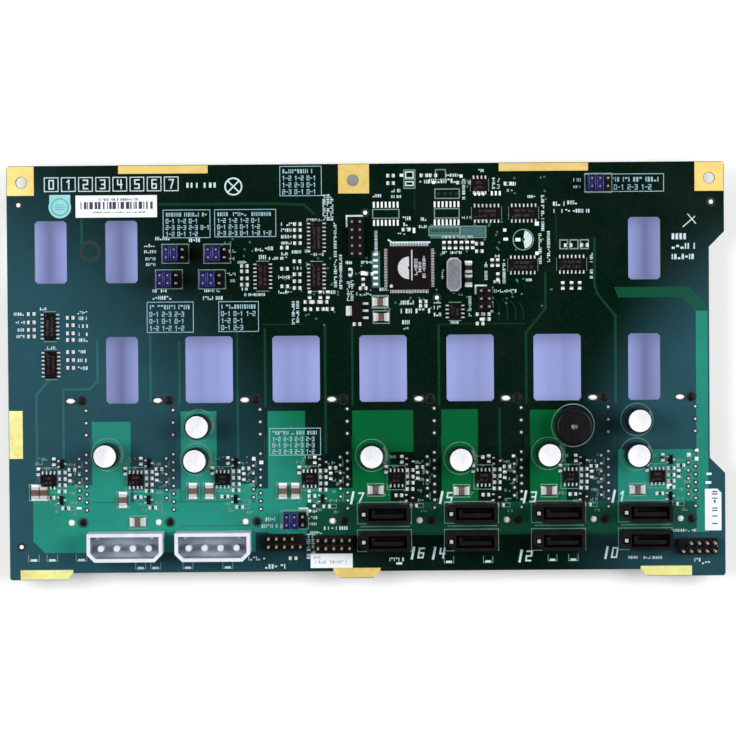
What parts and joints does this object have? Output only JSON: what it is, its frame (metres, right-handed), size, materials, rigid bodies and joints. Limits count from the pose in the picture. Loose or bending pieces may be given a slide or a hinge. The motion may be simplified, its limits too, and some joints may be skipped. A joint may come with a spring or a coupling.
{
  "type": "drive backplane board",
  "caption": "Server backplane circuit board with drive sockets on one side, and power, data and signal headers and air windows on the other.",
  "frame": {"origin": "middle of the board outline, in the plane that the drive connectors stand on", "axes": "+Z out of the component side, +X along the long edge to the right seen from that side, +Y towards the screw edge"},
  "size_m": [0.23, 0.133, 0.0217],
  "materials": {
    "solder_mask": "glossy dark green solder mask over copper and glass laminate",
    "gold_plating": "bare gold-plated copper, satin",
    "black_plastic": "moulded, fine matte",
    "contact_gold": "gold-plated spring contacts and tinned posts",
    "white_nylon": "moulded nylon, semi-matte",
    "tin_plate": "tin-plated, bright",
    "capacitor_can": "drawn aluminium can in a black sleeve",
    "chip_resin": "moulded epoxy, matte",
    "crystal_steel": "drawn steel can, satin",
    "blue_plastic": "moulded, glossy",
    "ceramic_tan": "ceramic chip with tinned ends",
    "label_white": "paper label with plain bars",
    "label_teal": "paper seal, teal"
  },
  "bodies": {
    "root": {"board": "solder_mask", "ground_pads": "gold_plating", "drive_connector_1": "black_plastic", "drive_contacts_1": "contact_gold", "drive_connector_2": "black_plastic", "drive_contacts_2": "contact_gold", "drive_connector_3": "black_plastic", "drive_contacts_3": "contact_gold", "drive_connector_4": "black_plastic", "drive_contacts_4": "contact_gold", "drive_connector_5": "black_plastic", "drive_contacts_5": "contact_gold", "drive_connector_6": "black_plastic", "drive_contacts_6": "contact_gold", "drive_connector_7": "black_plastic", "drive_contacts_7": "contact_gold", "drive_connector_8": "black_plastic", "drive_contacts_8": "contact_gold", "power_header_1": "white_nylon", "power_header_2": "white_nylon", "power_pins": "tin_plate", "data_header_1": "black_plastic", "data_header_2": "black_plastic", "data_header_3": "black_plastic", "data_header_4": "black_plastic", "data_header_5": "black_plastic", "data_header_6": "black_plastic", "data_header_7": "black_plastic", "data_header_8": "black_plastic", "data_contacts": "contact_gold", "bulk_capacitors": "capacitor_can", "buzzer": "black_plastic", "controller_chip": "chip_resin", "controller_leads": "tin_plate", "crystal_base": "black_plastic", "crystal_can": "crystal_steel", "logic_chips": "chip_resin", "logic_leads": "tin_plate", "bay_switches": "chip_resin", "bay_transistors": "chip_resin", "regulator": "chip_resin", "regulator_leads": "tin_plate", "programming_header": "black_plastic", "select_header": "black_plastic", "sideband_header_1": "black_plastic", "sideband_header_2": "black_plastic", "sideband_header_3": "black_plastic", "jumper_bases": "black_plastic", "header_pins": "tin_plate", "jumper_shunts": "blue_plastic", "chip_capacitors": "ceramic_tan", "chip_resistors": "ceramic_tan", "long_label": "label_white", "lower_label": "label_white", "side_label": "label_white", "round_seal": "label_teal"}
  },
  "joints": []
}
